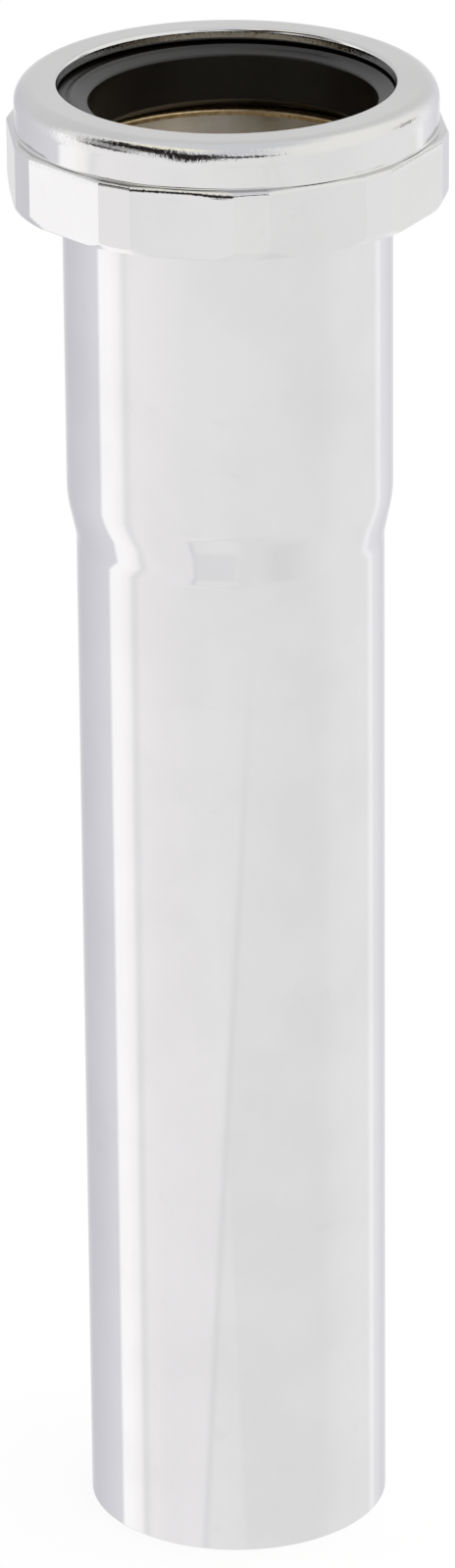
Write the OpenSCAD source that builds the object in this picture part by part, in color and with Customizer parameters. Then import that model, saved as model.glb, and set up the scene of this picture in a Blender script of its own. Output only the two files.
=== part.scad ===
// Slip-joint extension tube for a basin waste: a plated brass tube with a bell at its top end,
// a threaded ferrule brazed round the bell, a rubber washer and a slip nut.
// Millimetres. The tube stands on its cut end, centred on the Z axis, with the bell at the top.

/* [Tube] */
// Outside diameter of the tube, and of the pipe that slides into its bell
tube_od = 31.75; // [28:0.25:40]
// Thickness of the tube's wall
tube_wall = 0.7; // [0.5:0.05:1.2]
// Length of the tube from its cut end to its rim
tube_length = 150.6; // [100:0.2:300]

/* [Bell] */
// Radial gap between the bell's bore and the pipe inside it
slip_clearance = 0.21; // [0.1:0.01:0.4]
// Depth of the bell's straight part below the rim
bell_depth = 34.4; // [20:0.2:60]
// Slope of the taper under the bell, in degrees from the tube's axis
taper_angle = 12; // [8:0.5:16]
// Outside radius of the rounded shoulder where the bell turns into the taper
shoulder_r = 12.75; // [8:0.25:16]
// Outside radius of the hollow where the taper meets the narrow tube
root_r = 6.25; // [3:0.25:9]

/* [Threaded ferrule] */
// Radial gap that the brazing fills between the bell and the ferrule
braze_gap = 0.05; // [0.03:0.01:0.1]
// Thickness of the ferrule from its bore to the crest of its thread
ferrule_wall = 3.92; // [3:0.02:5]
// Height of the ferrule
ferrule_height = 3.6; // [2.4:0.1:6]
// Bevel on the ends of the ferrule's thread
ferrule_bevel = 0.5; // [0.2:0.05:0.9]

/* [Washer] */
// Thickness of the washer
washer_thickness = 6.7; // [5:0.1:8]
// How far the washer's hole is inside the surface of the pipe that it grips
washer_grip = 1.27; // [0.6:0.01:2]
// Radial step from the crest of the ferrule's thread in to the washer's edge
washer_inset = 1.05; // [0.4:0.05:1.5]
// Drop of the washer's top at its hole
washer_dish = 0.4; // [0.3:0.05:1.2]
// Width of the sloping part of the washer's top
washer_dish_width = 2.7; // [1.5:0.1:3.5]
// Height of the bevel round the foot of the washer's hole
washer_foot_height = 1.5; // [0.5:0.1:2.5]
// Width of that bevel
washer_foot_width = 2.3; // [0.5:0.1:3]

/* [Slip nut] */
// Height of the nut
nut_height = 11.65; // [10.5:0.05:15]
// Radial running gap between the ferrule's thread and the nut's thread
thread_clearance = 0.1; // [0.05:0.01:0.1]
// Height of the nut's threaded part
thread_height = 4.7; // [3.6:0.1:5.5]
// Wall of the nut outside its thread, at the middle of a flat
nut_wall = 1.05; // [0.8:0.01:2]
// Number of flats round the nut
flats = 10; // [8:1:12]
// Height of the band that carries the flats
band_height = 7.15; // [4:0.05:8]
// How far each corner between two flats is cut back
corner_cut = 0.58; // [0.2:0.01:0.9]
// How far the turned bevel round the foot of the band cuts into its corners
band_bevel = 0.4; // [0.2:0.05:0.6]
// Height of that bevel
band_bevel_height = 0.8; // [0.4:0.1:1.5]
// Angle that the nut is turned to, in degrees
nut_angle = 6; // [0:1:35]
// Radial play of the washer in the nut's pocket
washer_play = 0.7; // [0.2:0.05:0.9]
// Gap between the washer and the side of the pocket that it lies against
washer_side_gap = 0.05; // [0.03:0.01:0.1]
// Wall of the collar round the washer
collar_wall = 1.07; // [0.8:0.01:1.3]
// Rounding of the collar's top edge
collar_rounding = 1.9; // [1:0.1:2.2]
// Hollow rounding where the collar meets the band
foot_rounding = 0.25; // [0.1:0.05:0.4]
// Gap between the washer and the nut's lip
lip_gap = 0.3; // [0.1:0.05:0.5]
// Thickness of the lip that holds the washer down
lip_thickness = 1.35; // [1:0.05:2]
// Rounding of the lip's edges
lip_rounding = 0.4; // [0.1:0.05:0.45]
// Radial gap between the nut's mouth and the pipe that goes through it
mouth_clearance = 1.22; // [0.8:0.01:1.5]

/* [Hidden] */
$fn = 96;
// Points along a rounded stretch of a section
arc_points = 7;

// Tube and bell
tube_r = tube_od / 2;
bell_r = tube_r + slip_clearance + tube_wall;
rim_z = tube_length;
shoulder_z = rim_z - bell_depth;
arc_drop = (shoulder_r + root_r) * (1 - cos(taper_angle));
arc_height = (shoulder_r + root_r) * sin(taper_angle);
cone_height = (bell_r - tube_r - arc_drop) / tan(taper_angle);
root_z = shoulder_z - arc_height - cone_height;

// Ferrule
ferrule_bore_r = bell_r + braze_gap;
thread_r = ferrule_bore_r + ferrule_wall;
ferrule_z = rim_z - ferrule_height;

// Washer
washer_r = thread_r - washer_inset;
washer_hole_r = tube_r - washer_grip;
washer_offset = washer_play - washer_side_gap;
washer_top_z = rim_z + washer_thickness;

// Nut
nut_top_z = washer_top_z + lip_gap + lip_thickness;
nut_bottom_z = nut_top_z - nut_height;
nut_bore_r = thread_r + thread_clearance;
pocket_r = washer_r + washer_play;
pocket_z = nut_bottom_z + thread_height;
lip_z = nut_top_z - lip_thickness;
mouth_r = tube_r + mouth_clearance;
collar_r = pocket_r + collar_wall;
band_top_z = nut_bottom_z + band_height;
flat_r = nut_bore_r + nut_wall;
half_flat = 180 / flats;
corner_r = flat_r / cos(half_flat) - corner_cut;
// Radius of the upright edges between the flats and the corner facets
edge_r = norm([flat_r, (corner_r - flat_r * cos(half_flat)) / sin(half_flat)]);
// How far a cut runs past the face that it opens
past = 1;

// Points on an arc round [x, z], from angle a to angle b
function arc(x, z, r, a, b) =
    [for (i = [0:arc_points]) let (t = a + (b - a) * i / arc_points) [x + r * cos(t), z + r * sin(t)]];

// One face of the tube's wall, from the cut end up to the rim, set in by the given depth
function wall_line(depth) = concat(
    [[tube_r - depth, 0]],
    arc(tube_r + root_r, root_z, root_r + depth, 180, 180 - taper_angle),
    arc(bell_r - shoulder_r, shoulder_z, shoulder_r - depth, -taper_angle, 0),
    [[bell_r - depth, rim_z]]
);

function reversed(points) = [for (i = [len(points) - 1:-1:0]) points[i]];

// Regular polygon with the given distance from its centre to each side
module sided(distance, angle) {
    rotate(angle) circle(r = distance / cos(half_flat), $fn = flats);
}

module tube() {
    color([0.82, 0.82, 0.85])
        rotate_extrude() polygon(concat(wall_line(0), reversed(wall_line(tube_wall))));
}

module thread_ferrule() {
    color([0.75, 0.58, 0.28])
        rotate_extrude() polygon([
            [ferrule_bore_r, ferrule_z],
            [thread_r - ferrule_bevel, ferrule_z],
            [thread_r, ferrule_z + ferrule_bevel],
            [thread_r, rim_z - ferrule_bevel],
            [thread_r - ferrule_bevel, rim_z],
            [ferrule_bore_r, rim_z]
        ]);
}

// The washer lies a little off centre, against the +X side of its pocket
module washer() {
    color([0.15, 0.13, 0.12])
        translate([washer_offset, 0, 0]) rotate_extrude() polygon([
            [washer_hole_r + washer_foot_width, rim_z],
            [washer_r, rim_z],
            [washer_r, washer_top_z],
            [washer_hole_r + washer_dish_width, washer_top_z],
            [washer_hole_r, washer_top_z - washer_dish],
            [washer_hole_r, rim_z + washer_foot_height]
        ]);
}

// Collar with its rounded top edge, spread by a hollow rounding at its foot
module nut_collar() {
    rotate_extrude() polygon(concat(
        [[0, band_top_z - past], [collar_r + foot_rounding, band_top_z - past]],
        arc(collar_r + foot_rounding, band_top_z + foot_rounding, foot_rounding, 270, 180),
        arc(collar_r - collar_rounding, nut_top_z - collar_rounding, collar_rounding, 0, 90),
        [[0, nut_top_z]]
    ));
}

// Prism with wide flats and a narrow facet at each corner, and a turned bevel round its foot
module nut_band() {
    translate([0, 0, nut_bottom_z]) intersection() {
        linear_extrude(band_height) intersection() {
            sided(flat_r, nut_angle + half_flat);
            sided(corner_r, nut_angle);
        }
        cylinder(
            h = band_height,
            r1 = edge_r - band_bevel,
            r2 = edge_r - band_bevel + band_bevel * band_height / band_bevel_height
        );
    }
}

// The mouth, the washer's pocket and the threaded bore, from the top down
module nut_hollow() {
    rotate_extrude() polygon(concat(
        [[0, nut_bottom_z - past], [nut_bore_r, nut_bottom_z - past], [nut_bore_r, pocket_z]],
        [[pocket_r, pocket_z], [pocket_r, lip_z]],
        arc(mouth_r + lip_rounding, lip_z + lip_rounding, lip_rounding, 270, 180),
        arc(mouth_r + lip_rounding, nut_top_z - lip_rounding, lip_rounding, 180, 90),
        [[mouth_r + lip_rounding, nut_top_z + past], [0, nut_top_z + past]]
    ));
}

module slip_nut() {
    color([0.86, 0.86, 0.88]) difference() {
        union() {
            nut_collar();
            nut_band();
        }
        nut_hollow();
    }
}

tube();
thread_ferrule();
washer();
slip_nut();
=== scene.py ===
"""Looks of the drain extension tube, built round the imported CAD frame.

Sizes are in millimetres until a mesh is made, and metres after that. Azimuths are in degrees from -Y,
where the camera stands, towards +X.
"""

import math

import bpy
import numpy as np
from mathutils import Matrix, Vector


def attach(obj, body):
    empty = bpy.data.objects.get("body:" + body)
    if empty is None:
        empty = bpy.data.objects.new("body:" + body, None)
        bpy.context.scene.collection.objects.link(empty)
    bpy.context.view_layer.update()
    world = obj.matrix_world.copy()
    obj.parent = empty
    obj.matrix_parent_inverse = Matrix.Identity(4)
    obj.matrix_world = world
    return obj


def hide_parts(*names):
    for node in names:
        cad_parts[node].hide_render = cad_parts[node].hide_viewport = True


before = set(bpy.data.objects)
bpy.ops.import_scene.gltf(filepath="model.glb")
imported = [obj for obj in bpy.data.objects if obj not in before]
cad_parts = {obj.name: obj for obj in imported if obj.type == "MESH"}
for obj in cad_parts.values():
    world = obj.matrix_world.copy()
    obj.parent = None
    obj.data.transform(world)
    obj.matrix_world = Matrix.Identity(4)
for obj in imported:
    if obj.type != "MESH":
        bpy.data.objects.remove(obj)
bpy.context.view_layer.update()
scene = bpy.context.scene

MM = 0.001
FULL_TURN = 2 * math.pi

# Tube and bell
TUBE_R = 15.875
TUBE_WALL = 0.7
BELL_R = 16.785
RIM_Z = 150.6
SHOULDER_Z = 116.2
ROOT_Z = 109.922
SHOULDER_ROUNDING = 12.75
ROOT_ROUNDING = 6.25
TAPER = math.radians(12)

# Threaded ferrule
FERRULE_BORE_R = 16.835
THREAD_R = 20.755
FERRULE_Z = 147.0
FERRULE_BEVEL = 0.5

# Thread: 11.5 turns to the inch, right-handed
PITCH = 25.4 / 11.5
THREAD_DEPTH = 0.8
CREST_SHARE = 0.09
FOOT_SHARE = 0.36

# Washer
WASHER_X = 0.65
WASHER_R = 19.705
WASHER_HOLE_R = 14.605
WASHER_TOP_Z = 157.3
WASHER_DISH = 0.4
WASHER_RIDGE_R = 16.3
WASHER_FOOT_HEIGHT = 1.5
WASHER_FOOT_WIDTH = 2.3

# Slip nut
NUT_Z = 147.3
NUT_TOP_Z = 158.95
BAND_TOP_Z = 154.45
NUT_BORE_R = 20.855
POCKET_R = 20.405
POCKET_Z = 152.0
LIP_Z = 157.6
MOUTH_R = 17.095
COLLAR_R = 21.475
COLLAR_ROUNDING = 1.9
FLAT_R = 21.905
CORNER_R = 22.453
EDGE_R = 22.522
FLATS = 10
FLAT_ANGLE = 6.0
BEVEL = 0.4
BEVEL_HEIGHT = 0.8
BAND_ROUNDING = 0.5
CORNER_WEAR = 0.5
WORN_CORNER = -2.0


# Sections and meshes

def unit(vector):
    return vector / np.linalg.norm(vector)


def rounded(corners):
    """Points and outward normals of a closed outline that runs anticlockwise.

    Each corner is (x, y, rounding, steps round it, points added on the way to the next one, mark).
    """
    points, normals, marks = [], [], []
    count = len(corners)
    ends = []
    for k in range(count):
        before, here, after = (np.array(corners[(k + d) % count][:2], float) for d in (-1, 0, 1))
        rounding, steps, extra, mark = corners[k][2:]
        into, out = unit(here - before), unit(after - here)
        turn = math.atan2(into[0] * out[1] - into[1] * out[0], float(into @ out))
        side = 1 if turn > 0 else -1
        start = here - into * rounding * abs(math.tan(turn / 2))
        centre = start + side * rounding * np.array([-into[1], into[0]])
        arc = []
        for i in range(steps + 1):
            a = turn * i / steps
            normal = np.array([into[1] * math.cos(a) + into[0] * math.sin(a),
                               into[1] * math.sin(a) - into[0] * math.cos(a)])
            arc.append((centre + side * rounding * normal, normal))
        ends.append((arc, extra, mark))
    for k, (arc, extra, mark) in enumerate(ends):
        for point, normal in arc:
            points.append(point)
            normals.append(normal)
            marks.append(mark)
        start, normal = arc[-1]
        finish = ends[(k + 1) % count][0][0][0]
        for i in range(1, extra + 1):
            points.append(start + (finish - start) * i / (extra + 1))
            normals.append(normal)
            marks.append(mark)
    return np.array(points), np.array(normals), marks


def round_columns(count):
    """Directions of the columns of a plain round body."""
    a = np.arange(count) * FULL_TURN / count
    return np.stack([np.cos(a), np.sin(a)], 1)


def turned(points, normals, around):
    """Rows of a section turned round the axis."""
    place = np.concatenate([points[:, None, :1] * around[None],
                            np.repeat(points[:, 1][:, None, None], len(around), 1)], 2)
    facing = np.concatenate([normals[:, None, :1] * around[None],
                             np.repeat(normals[:, 1][:, None, None], len(around), 1)], 2)
    return place, facing


def threaded(heights, angles, radius, inwards):
    """Rows of a wall whose radius depends on angle and height. Its normals point in for a bore."""
    z, a = np.meshgrid(heights, angles, indexing="ij")
    r = radius(a, z)
    step = 1e-4
    by_angle = (radius(a + step, z) - radius(a - step, z)) / (2 * step)
    by_height = (radius(a, z + step) - radius(a, z - step)) / (2 * step)
    cos, sin = np.cos(a), np.sin(a)
    place = np.stack([r * cos, r * sin, z], 2)
    facing = np.stack([cos + by_angle / r * sin, sin - by_angle / r * cos, -by_height], 2)
    facing /= np.linalg.norm(facing, axis=2, keepdims=True)
    return place, -facing if inwards else facing


def ring_mesh(name, place, facing, looks, materials, shift=(0, 0, 0)):
    """A closed ring: its rows run round the section, and its columns round the axis."""
    rows, columns = place.shape[:2]
    i, j = np.meshgrid(np.arange(rows), np.arange(columns), indexing="ij")
    up, on = (i + 1) % rows, (j + 1) % columns
    faces = np.stack([i * columns + j, i * columns + on, up * columns + on, up * columns + j], 2).reshape(-1, 4)
    mesh = bpy.data.meshes.new(name)
    vertices = (place.reshape(-1, 3) + np.array(shift)) * MM
    mesh.from_pydata(vertices.tolist(), [], faces.tolist())
    for material in materials:
        mesh.materials.append(material)
    mesh.polygons.foreach_set("material_index", np.repeat(np.array(looks, np.int32), columns))
    mesh.polygons.foreach_set("use_smooth", np.ones(len(faces), bool))
    mesh.update()
    mesh.normals_split_custom_set_from_vertices(facing.reshape(-1, 3).tolist())
    piece = bpy.data.objects.new(name, mesh)
    scene.collection.objects.link(piece)
    return piece


def ridge(a, z):
    """How high the thread stands at an angle and a height, from 0 in its groove to 1 on its crest."""
    away = np.abs((z / PITCH - a / FULL_TURN + 0.5) % 1 - 0.5)
    t = np.clip((FOOT_SHARE - away) / (FOOT_SHARE - CREST_SHARE), 0, 1)
    return t * t * (3 - 2 * t)


# Node helpers

class Nodes:
    """Builds a node tree from nested calls."""

    def __init__(self, tree):
        self.tree = tree
        tree.nodes.clear()

    def add(self, kind, sockets=None, **settings):
        node = self.tree.nodes.new(kind)
        for key, value in settings.items():
            setattr(node, key, value)
        for key, value in (sockets or {}).items():
            if isinstance(value, bpy.types.NodeSocket):
                self.tree.links.new(value, node.inputs[key])
            else:
                node.inputs[key].default_value = value
        return node

    def math(self, operation, *values):
        sockets = dict(enumerate(values))
        return self.add("ShaderNodeMath", sockets, operation=operation).outputs[0]

    def step(self, value, low, high, start=0.0, end=1.0):
        """Smooth step of value, from start at low to end at high."""
        sockets = {"Value": value, "From Min": low, "From Max": high, "To Min": start, "To Max": end}
        return self.add("ShaderNodeMapRange", sockets, interpolation_type="SMOOTHSTEP").outputs[0]

    def mix(self, factor, first, second):
        node = self.add("ShaderNodeMix", data_type="RGBA")
        for socket, value in ((node.inputs[0], factor), (node.inputs[6], first), (node.inputs[7], second)):
            if isinstance(value, bpy.types.NodeSocket):
                self.tree.links.new(value, socket)
            else:
                socket.default_value = value
        return node.outputs[2]

    def noise(self, vector, scale, detail=3.0, roughness=0.5, distortion=0.0):
        sockets = {"Vector": vector, "Scale": scale, "Detail": detail, "Roughness": roughness,
                   "Distortion": distortion}
        return self.add("ShaderNodeTexNoise", sockets).outputs[0]

    def stretch(self, vector, scale):
        return self.add("ShaderNodeVectorMath", {0: vector, 1: scale}, operation="MULTIPLY").outputs[0]

    def bump(self, height, distance, normal=None):
        sockets = {"Height": height, "Distance": distance, "Strength": 1.0}
        if normal is not None:
            sockets["Normal"] = normal
        return self.add("ShaderNodeBump", sockets).outputs[0]


def grey(level, alpha=1.0):
    return (level, level, level, alpha)


def new_material(name):
    material = bpy.data.materials.new(name)
    material.use_nodes = True
    return material, Nodes(material.node_tree)


def finish_material(nodes, sockets):
    shader = nodes.add("ShaderNodeBsdfPrincipled", sockets)
    nodes.add("ShaderNodeOutputMaterial", {"Surface": shader.outputs[0]})


def chrome(name, tint, waviness, wave_scale, roughness, ragged=None):
    """Bright plate with fine waviness, faint smudges and hairline scratches.

    ragged lists stretches of height, in metres, where the polish is coarser, as (low, high, depth).
    """
    material, n = new_material(name)
    at = n.add("ShaderNodeTexCoord").outputs["Object"]
    cloud = n.noise(at, 90.0, 4.0, 0.55)
    smudge = n.step(n.noise(at, 260.0, 5.0, 0.6, 0.4), 0.60, 0.74)
    scratch = n.step(n.noise(n.stretch(at, (900.0, 900.0, 40.0)), 1.0, 2.0, 0.5), 0.66, 0.70)
    darker = tuple(0.965 * c for c in tint[:3]) + (1.0,)
    colour = n.mix(n.step(cloud, 0.35, 0.7), tint, darker)
    colour = n.mix(n.math("MULTIPLY", smudge, 0.12), colour, (0.52, 0.51, 0.50, 1.0))
    rough = n.math("ADD", n.math("MULTIPLY", cloud, 0.02), roughness)
    rough = n.math("ADD", rough, n.math("MULTIPLY", smudge, 0.035))
    rough = n.math("ADD", rough, n.math("MULTIPLY", scratch, 0.02))
    coarse = n.bump(n.noise(at, wave_scale * 0.22, 2.0, 0.5), waviness * 3.0)
    normal = n.bump(n.noise(at, wave_scale, 3.0, 0.6), waviness, coarse)
    height = n.add("ShaderNodeSeparateXYZ", {0: at}).outputs[2]
    for low, high, depth in ragged or ():
        inside = n.math("MULTIPLY", n.step(height, low - 2e-4, low + 2e-4),
                        n.step(height, high - 2e-4, high + 2e-4, 1.0, 0.0))
        grain = n.noise(n.stretch(at, (1.0, 1.0, 0.6)), 2600.0, 3.0, 0.6, 0.6)
        normal = n.bump(n.math("MULTIPLY", grain, inside), depth, normal)
    finish_material(n, {"Base Color": colour, "Metallic": 1.0, "Roughness": rough, "Normal": normal})
    return material


def metal(name, first, second, roughness, scale, lines, depth, smear=0.0):
    """Bare or dull metal in two tones, with fine turned lines round the axis that smear its gloss upright."""
    material, n = new_material(name)
    at = n.add("ShaderNodeTexCoord").outputs["Object"]
    cloud = n.noise(at, scale, 5.0, 0.6, 0.3)
    turning = n.noise(n.stretch(at, (30.0, 30.0, lines)), 1.0, 3.0, 0.6)
    colour = n.mix(n.step(cloud, 0.35, 0.68), first, second)
    rough = n.math("ADD", n.math("MULTIPLY", cloud, 0.16), roughness)
    sockets = {"Base Color": colour, "Metallic": 1.0, "Roughness": rough, "Normal": n.bump(turning, depth)}
    if smear:
        around = n.add("ShaderNodeTangent", direction_type="RADIAL", axis="Z").outputs[0]
        sockets.update({"Anisotropic": smear, "Anisotropic Rotation": 0.25, "Tangent": around})
    finish_material(n, sockets)
    return material


def rubber(name):
    """Moulded black-brown rubber with a satin skin."""
    material, n = new_material(name)
    at = n.add("ShaderNodeTexCoord").outputs["Object"]
    cloud = n.noise(at, 120.0, 5.0, 0.6)
    grain = n.noise(at, 2600.0, 4.0, 0.65)
    colour = n.mix(n.step(cloud, 0.35, 0.7), (0.0040, 0.0030, 0.0022, 1.0), (0.0070, 0.0055, 0.0042, 1.0))
    rough = n.math("ADD", n.math("MULTIPLY", cloud, 0.16), 0.24)
    finish_material(n, {"Base Color": colour, "Roughness": rough, "IOR": 1.48,
                        "Normal": n.bump(grain, 6e-6)})
    return material


plated_tube = chrome("plated_tube", (0.634, 0.633, 0.638, 1.0), 4e-7, 1400.0, 0.035)
plated_nut = chrome("plated_nut", (0.632, 0.632, 0.630, 1.0), 2.2e-6, 1900.0, 0.04,
                    [(0.1538, 0.1545, 3e-5), (0.1568, 0.1586, 3e-5)])
cut_brass = metal("cut_brass", (0.90, 0.72, 0.44, 1.0), (0.66, 0.46, 0.22, 1.0), 0.30, 1500.0, 3000.0, 4e-6)
tube_inside = metal("tube_inside", (0.96, 0.90, 0.78, 1.0), (0.88, 0.78, 0.64, 1.0), 0.42, 140.0, 900.0, 5e-6, 1.0)
turned_brass = metal("ferrule_brass", (0.74, 0.54, 0.26, 1.0), (0.55, 0.38, 0.17, 1.0), 0.22, 300.0, 5000.0, 6e-6)
black_rubber = rubber("washer_rubber")


# Tube: outside, cut rim, inside, cut end

def make_tube():
    taper_rise = math.tan(TAPER / 2)
    edge = 0.13
    outside, rim, inside = 0, 1, 2
    inner_root = ROOT_Z + (ROOT_ROUNDING + TUBE_WALL) * taper_rise
    inner_shoulder = SHOULDER_Z - (SHOULDER_ROUNDING - TUBE_WALL) * taper_rise
    points, normals, looks = rounded([
        (TUBE_R, 0, edge, 4, 12, outside),
        (TUBE_R, ROOT_Z + ROOT_ROUNDING * taper_rise, ROOT_ROUNDING, 18, 3, outside),
        (BELL_R, SHOULDER_Z - SHOULDER_ROUNDING * taper_rise, SHOULDER_ROUNDING, 26, 6, outside),
        (BELL_R, RIM_Z, edge, 5, 1, rim),
        (BELL_R - TUBE_WALL, RIM_Z, 0.4, 9, 0, rim),
        (BELL_R - TUBE_WALL, RIM_Z - 0.7, 0.1, 1, 6, inside),
        (BELL_R - TUBE_WALL, inner_shoulder, SHOULDER_ROUNDING - TUBE_WALL, 16, 3, inside),
        (TUBE_R - TUBE_WALL, inner_root, ROOT_ROUNDING + TUBE_WALL, 12, 12, inside),
        (TUBE_R - TUBE_WALL, 0, edge, 4, 1, rim),
    ])
    place, facing = turned(points, normals, round_columns(256))
    piece = ring_mesh("tube_shell", place, facing, looks, [plated_tube, cut_brass, tube_inside])
    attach(piece, "extension_tube")
    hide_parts("tube")


def make_ferrule():
    edge = 0.03

    def radius(a, z):
        bevel = THREAD_R - FERRULE_BEVEL + np.minimum(z - FERRULE_Z, RIM_Z - z)
        return np.minimum(THREAD_R - THREAD_DEPTH * (1 - ridge(a, z)), bevel)

    around = round_columns(256)
    angles = np.arange(256) * FULL_TURN / 256
    wall = threaded(np.linspace(FERRULE_Z + edge, RIM_Z - edge, 72), angles, radius, False)
    points, normals, _ = rounded([
        (THREAD_R - 2, RIM_Z, edge, 1, 0, 0),
        (FERRULE_BORE_R, RIM_Z, 0.15, 3, 2, 0),
        (FERRULE_BORE_R, FERRULE_Z, 0.15, 3, 0, 0),
        (THREAD_R - 2, FERRULE_Z, edge, 1, 0, 0),
    ])
    place, facing = turned(points, normals, around)
    ends = []
    for z, up in ((RIM_Z, 1.0), (FERRULE_Z, -1.0)):
        r = radius(angles, np.full_like(angles, z)) - edge
        row = np.concatenate([around * r[:, None], np.full((256, 1), z)], 1)[None]
        ends.append((row, np.tile([0.0, 0.0, up], (1, 256, 1))))
    inner = slice(2, len(points) - 2)
    place = np.concatenate([wall[0], ends[0][0], place[inner], ends[1][0]])
    facing = np.concatenate([wall[1], ends[0][1], facing[inner], ends[1][1]])
    piece = ring_mesh("ferrule_threaded", place, facing, [0] * len(place), [turned_brass])
    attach(piece, "extension_tube")
    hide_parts("thread_ferrule")


def make_washer():
    edge = 0.18
    points, normals, looks = rounded([
        (WASHER_R, RIM_Z, edge, 4, 2, 0),
        (WASHER_R, WASHER_TOP_Z, 0.35, 7, 2, 0),
        (WASHER_RIDGE_R + 0.6, WASHER_TOP_Z, 0.4, 4, 1, 0),
        (WASHER_RIDGE_R, WASHER_TOP_Z + 0.2, 0.16, 8, 2, 0),
        (WASHER_RIDGE_R - 0.4, WASHER_TOP_Z - 0.05, 0.5, 6, 2, 0),
        (WASHER_HOLE_R, WASHER_TOP_Z - WASHER_DISH, 0.3, 7, 4, 0),
        (WASHER_HOLE_R, RIM_Z + WASHER_FOOT_HEIGHT, 0.4, 5, 2, 0),
        (WASHER_HOLE_R + WASHER_FOOT_WIDTH, RIM_Z, edge, 4, 2, 0),
    ])
    place, facing = turned(points, normals, round_columns(224))
    piece = ring_mesh("slip_washer", place, facing, looks, [black_rubber], (WASHER_X, 0, 0))
    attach(piece, "washer_carrier")
    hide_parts("washer")


def nut_outline():
    """Columns of the nut: points and normals of its band, with flats and cut-back corners."""
    half = 180 / FLATS
    lines = []
    for k in range(2 * FLATS):
        a = math.radians(FLAT_ANGLE + half * k)
        lines.append((np.array([math.cos(a), math.sin(a)]), FLAT_R if k % 2 == 0 else CORNER_R))
    corners = []
    for k, (normal, distance) in enumerate(lines):
        after, far = lines[(k + 1) % len(lines)]
        x, y = np.linalg.solve(np.array([normal, after]), np.array([distance, far]))
        corners.append((x, y, 0.5, 4, 5 if k % 2 == 0 else 19, 0))
    points, normals, _ = rounded(corners)
    return points, normals


def edge_wear(angles):
    """How much rounder the band's top edge is at each column: worn most at one corner in front."""
    azimuth = (np.degrees(angles) + 270) % 360 - 180
    return 1 + CORNER_WEAR * np.exp(-((azimuth - WORN_CORNER) / 5.0) ** 2)


def make_nut():
    outline, outline_normals = nut_outline()
    around = outline / np.linalg.norm(outline, axis=1, keepdims=True)
    angles = np.arctan2(around[:, 1], around[:, 0])
    banded, plain = 1, 0
    edge = 0.05
    thread_bevel = 0.35
    points, normals, kind = rounded([
        (NUT_BORE_R + thread_bevel, NUT_Z, edge, 2, 0, plain),
        (FLAT_R, NUT_Z, 0.12, 4, 34, banded),
        (FLAT_R, BAND_TOP_Z, BAND_ROUNDING, 10, 0, banded),
        (COLLAR_R, BAND_TOP_Z, 0.19, 6, 4, plain),
        (COLLAR_R, NUT_TOP_Z, COLLAR_ROUNDING, 44, 6, plain),
        (MOUTH_R, NUT_TOP_Z, 0.4, 14, 2, plain),
        (MOUTH_R, LIP_Z, 0.35, 8, 2, plain),
        (POCKET_R, LIP_Z, 0.3, 5, 4, plain),
        (POCKET_R, POCKET_Z, edge, 3, 0, plain),
        (NUT_BORE_R, POCKET_Z, edge, 3, 0, plain),
    ])
    band = np.array(kind) == banded
    place, facing = turned(points, normals, around)

    # The band's rows follow the outline. Its top edge is worn rounder at one corner in front
    inset = (points[band, 0] - FLAT_R)[:, None]
    height = np.repeat(points[band, 1][:, None], len(angles), 1)
    worn = np.where(height > BAND_TOP_Z - BAND_ROUNDING - 1e-6, edge_wear(angles)[None], 1.0)
    height = BAND_TOP_Z + (height - BAND_TOP_Z) * worn
    inset = inset * worn
    flank = outline[None] + inset[..., None] * outline_normals[None]
    slope = np.concatenate([normals[band, 0][:, None, None] * outline_normals[None],
                            facing[band][..., 2:]], 2)

    # A turned bevel cuts the corners off at the foot
    reach = np.linalg.norm(flank, axis=2)
    limit = EDGE_R - BEVEL + (height - NUT_Z) * BEVEL / BEVEL_HEIGHT
    blend = 0.03
    kept = 1 / (1 + np.exp(np.clip((reach - limit) / blend, -50, 50)))
    cut = np.minimum(reach, limit) - blend * np.log1p(np.exp(-np.abs(reach - limit) / blend))
    flank = flank * (cut / reach)[..., None]
    cone = unit(np.array([BEVEL_HEIGHT, -BEVEL]))
    cone = np.concatenate([cone[0] * around, np.full((len(angles), 1), cone[1])], 1)[None]
    slope = slope * kept[..., None] + cone * (1 - kept)[..., None]
    slope = slope / np.linalg.norm(slope, axis=2, keepdims=True)
    place[band] = np.concatenate([flank, height[..., None]], 2)
    facing[band] = slope

    def radius(a, z):
        thread = THREAD_DEPTH * ridge_gap(a, z) * np.clip((RIM_Z + 0.3 - z) / 0.6, 0, 1)
        return np.maximum(NUT_BORE_R - thread, NUT_BORE_R + thread_bevel - (z - NUT_Z))

    bore = threaded(np.linspace(POCKET_Z - 2 * edge, NUT_Z + edge, 92), angles, radius, True)
    place = np.concatenate([place, bore[0]])
    facing = np.concatenate([facing, bore[1]])
    piece = ring_mesh("slip_nut_plated", place, facing, [0] * len(place), [plated_nut])
    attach(piece, "nut")
    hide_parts("slip_nut")


def ridge_gap(a, z):
    """How far the nut's thread stands in: it fills the ferrule's groove, less the running gap."""
    away = np.abs((z / PITCH - a / FULL_TURN + 0.5) % 1 - 0.5)
    t = np.clip((away - CREST_SHARE) / (FOOT_SHARE - CREST_SHARE), 0, 1)
    return t * t * (3 - 2 * t)


make_tube()
make_ferrule()
make_washer()
make_nut()


# Floor and world

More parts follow.
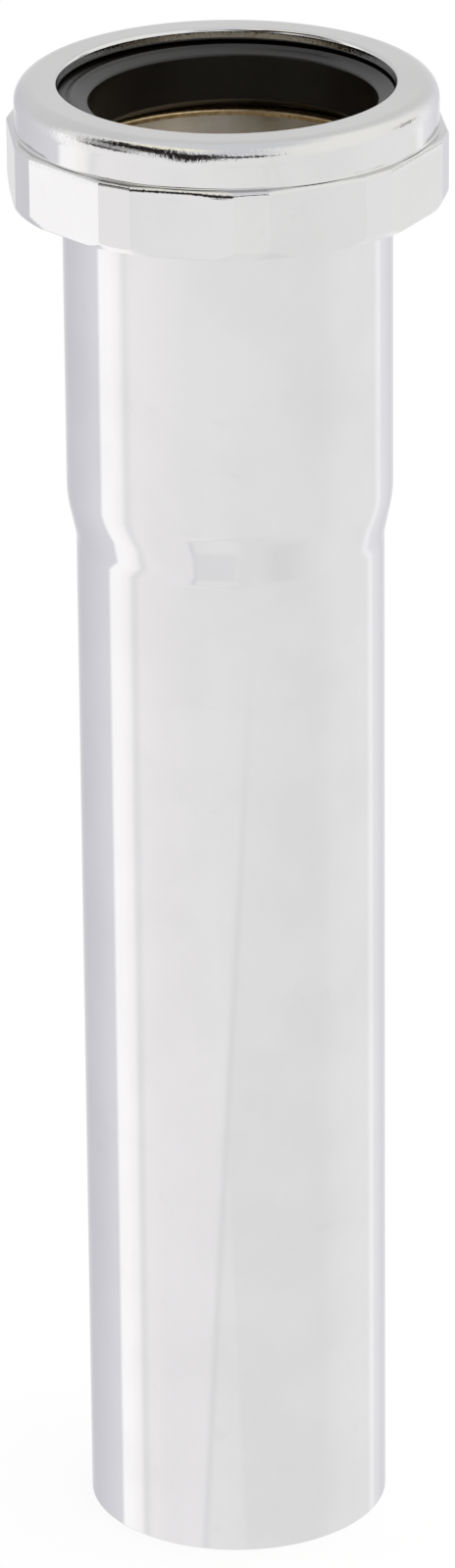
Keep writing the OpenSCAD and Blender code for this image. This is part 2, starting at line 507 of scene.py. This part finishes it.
def make_floor():
    """A large pale floor. The camera sees it near white, and the object's soft shadow stays on it."""
    size = 12.0
    mesh = bpy.data.meshes.new("floor")
    corners = [(-size, -size, 0), (size, -size, 0), (size, size, 0), (-size, size, 0)]
    mesh.from_pydata(corners, [], [(0, 1, 2, 3)])
    floor = bpy.data.objects.new("floor", mesh)
    scene.collection.objects.link(floor)
    material, n = new_material("pale_floor")
    path = n.add("ShaderNodeLightPath")
    cloth = n.add("ShaderNodeBsdfDiffuse", {"Color": grey(0.9)})
    glow = n.add("ShaderNodeEmission", {"Color": grey(1.0), "Strength": 1.07})
    share = n.math("MULTIPLY", path.outputs["Is Camera Ray"], 0.8)
    mixed = n.add("ShaderNodeMixShader", {0: share, 1: cloth.outputs[0], 2: glow.outputs[0]})
    n.add("ShaderNodeOutputMaterial", {"Surface": mixed.outputs[0]})
    mesh.materials.append(material)
    floor.visible_glossy = False


def make_world():
    """A pale studio of soft panels by direction. The camera itself sees plain white."""
    world = bpy.data.worlds.new("studio")
    world.use_nodes = True
    scene.world = world
    n = Nodes(world.node_tree)
    direction = n.add("ShaderNodeTexCoord").outputs["Generated"]
    axes = n.add("ShaderNodeSeparateXYZ", {0: direction}).outputs
    to_degrees = math.degrees(1)
    azimuth = n.math("MULTIPLY", n.math("ARCTAN2", axes[0], n.math("MULTIPLY", axes[1], -1.0)), to_degrees)
    elevation = n.math("MULTIPLY", n.math("ARCSINE", axes[2]), to_degrees)
    behind = n.math("ABSOLUTE", azimuth)

    def panel(under, colour, left, right, bottom, top, soft, soft_up=4.0, lean=(0.0, 0.0), pivot=0.0,
              amount=1.0, height=elevation):
        """One soft-edged panel; each side edge may lean by degrees of azimuth for each degree of height."""
        soft = soft if isinstance(soft, tuple) else (soft, soft)
        lift = n.math("SUBTRACT", height, pivot)
        share = n.step(elevation, bottom - soft_up, bottom + soft_up)
        sides = ((left, lean[0], soft[0], 0.0, 1.0), (right, lean[1], soft[1], 1.0, 0.0))
        masks = [n.step(elevation, top - soft_up, top + soft_up, 1.0, 0.0)]
        for edge, slope, width, start, end in sides:
            side = n.math("MULTIPLY_ADD", lift, -slope, azimuth) if slope else azimuth
            masks.append(n.step(side, edge - width, edge + width, start, end))
        for mask in masks:
            share = n.math("MULTIPLY", share, mask)
        if amount != 1.0:
            share = n.math("MULTIPLY", share, amount)
        if isinstance(colour, tuple):
            colour = colour + (1.0,)
        return n.mix(share, under, colour)

    def fade(low, high, first, second):
        """Colour that changes evenly with the azimuth."""
        sockets = {"Value": azimuth, "From Min": low, "From Max": high}
        share = n.add("ShaderNodeMapRange", sockets).outputs[0]
        return n.mix(share, first + (1.0,), second + (1.0,))

    # Front and sides, then the wall behind
    colour = n.mix(n.step(behind, 118.0, 158.0), (1.155, 1.155, 1.15, 1.0), (0.885, 0.88, 0.88, 1.0))
    colour = panel(colour, (0.88, 0.87, 0.88), -176.0, -108.0, 0.0, 75.0, 4.0, 12.0)

    # Below the horizon: white in front, a little darker on the right
    colour = panel(colour, fade(-16.0, 60.0, (1.185, 1.18, 1.18), (1.12, 1.12, 1.12)), -82.0, 82.0, -95.0, 8.0,
                   (3.0, 20.0), 8.0)
    colour = panel(colour, (1.18, 1.175, 1.18), 80.0, 116.0, -95.0, 8.0, (16.0, 6.0), 8.0)
    colour = panel(colour, fade(-66.0, -28.0, (1.27, 1.245, 1.25), (1.19, 1.175, 1.18)), -76.0, -20.0, -95.0,
                   4.0, (4.0, 6.0), 6.0)
    # A lavender wall on the left, up to the edge of a bright panel
    colour = panel(colour, fade(-152.0, -108.0, (0.775, 0.765, 0.815), (1.04, 1.03, 1.085)), -166.0, -102.0, -95.0,
                   10.0, (8.0, 2.0), 12.0)
    colour = panel(colour, (1.49, 1.47, 1.475), -103.0, -82.0, -95.0, 18.0, (2.6, 5.0), 6.0)
    colour = panel(colour, (1.40, 1.36, 1.33), -90.0, -82.0, -95.0, 18.0, (3.0, 4.0), 6.0, amount=0.5)
    colour = panel(colour, (1.08, 1.08, 1.11), -79.0, -74.0, -60.0, -20.0, 3.0, 4.0, amount=0.4)
    # A thin bright strip on the right, and a cooler wall
    colour = panel(colour, fade(134.0, 156.0, (1.13, 1.125, 1.17), (0.875, 0.865, 0.915)), 134.0, 166.0, -95.0,
                   12.0, (2.0, 6.0), 6.0)
    colour = panel(colour, (1.27, 1.27, 1.29), 124.5, 133.0, -95.0, 12.0, (3.5, 2.5), 6.0)
    # A faint wedge that widens towards the foot of the view, with one darker edge
    drop = n.math("MAXIMUM", elevation, -28.8)
    colour = panel(colour, (1.125, 1.125, 1.125), 4.0, 60.0, -95.0, -24.5, (2.0, 16.0), 2.0, (-4.0, 0.0), -28.0,
                   height=drop)
    colour = panel(colour, (1.235, 1.215, 1.225), -60.0, -25.5, -95.0, -24.0, (10.0, 2.0), 2.0, (0.0, 6.7), -28.0,
                   height=drop)
    colour = panel(colour, (1.06, 1.045, 1.06), -26.0, -22.5, -95.0, -23.0, 2.2, 1.5, (6.7, 6.7), -28.0,
                   height=drop)
    colour = panel(colour, (1.09, 1.09, 1.105), -30.0, 5.0, -95.0, -40.0, (3.0, 6.0), 3.0, amount=0.8)
    colour = panel(colour, (1.04, 1.04, 1.04), 30.0, 56.0, -95.0, -31.0, 10.0, 4.0, amount=0.7)

    # Warm white above on the right, cool grey overhead, cream above on the left
    colour = panel(colour, (1.20, 1.19, 1.15), 38.0, 132.0, 12.0, 64.0, 12.0, 8.0)
    colour = panel(colour, (0.92, 0.93, 0.965), -181.0, 181.0, 66.0, 95.0, 0.5, 10.0)
    colour = panel(colour, (1.28, 1.22, 1.02), -96.0, -6.0, 57.0, 72.0, 12.0, 4.0)
    colour = panel(colour, (0.90, 0.90, 0.95), -16.0, 30.0, 40.0, 72.0, 8.0, 8.0)
    # The dark doorway in front on the left, with its lit window
    dark = (0.030, 0.024, 0.024)
    colour = panel(colour, dark, -90.0, -28.0, 9.0, 57.0, 3.0, 4.0, lean=(-0.15, -0.75), pivot=45.0)
    colour = panel(colour, (1.12, 1.11, 1.13), -53.0, -34.0, 2.0, 27.0, 3.0, 5.0, lean=(0.0, -0.35), pivot=10.0)
    colour = panel(colour, (0.62, 0.60, 0.60), -86.0, -52.0, 17.0, 34.0, 3.0, 4.0)
    colour = panel(colour, (0.05, 0.04, 0.04), -72.5, -69.5, 8.0, 50.0, 1.5, 4.0)
    colour = panel(colour, dark, -26.0, -16.0, -14.0, 42.0, 2.5, 5.0, lean=(-0.42, 0.42), pivot=0.0)
    colour = panel(colour, (0.07, 0.065, 0.07), -12.0, 24.0, 20.0, 33.0, 5.0, 3.5)
    colour = panel(colour, (0.10, 0.09, 0.09), 108.0, 118.0, 9.0, 17.0, 3.0, 2.5)

    path = n.add("ShaderNodeLightPath")
    studio = n.add("ShaderNodeBackground", {"Color": colour, "Strength": 1.0})
    white = n.add("ShaderNodeBackground", {"Color": grey(1.0), "Strength": 1.0})
    seen = n.add("ShaderNodeMixShader",
                 {0: path.outputs["Is Camera Ray"], 1: studio.outputs[0], 2: white.outputs[0]})
    n.add("ShaderNodeOutputWorld", {"Surface": seen.outputs[0]})


make_floor()
make_world()


# Camera at the photograph's angle

def make_camera():
    pitch, yaw, roll = 0.39995766, -0.00070376, -0.00922483
    place = (0.0, -0.769655, 0.407303)
    focal_pixels, frame_pixels, sensor = 8167.8, 1600, 36.0
    forward = Vector((math.sin(yaw) * math.cos(pitch), math.cos(yaw) * math.cos(pitch), -math.sin(pitch)))
    right = Vector((math.cos(yaw), -math.sin(yaw), 0.0))
    up = right.cross(forward)
    right, up = (right * math.cos(roll) + up * math.sin(roll), up * math.cos(roll) - right * math.sin(roll))
    data = bpy.data.cameras.new("camera")
    data.lens = focal_pixels / frame_pixels * sensor
    data.sensor_width = sensor
    data.clip_start, data.clip_end = 0.01, 100.0
    camera = bpy.data.objects.new("camera", data)
    scene.collection.objects.link(camera)
    camera.matrix_world = Matrix((right, up, -forward)).transposed().to_4x4()
    camera.location = place
    scene.camera = camera


make_camera()
scene.view_settings.view_transform = "Standard"
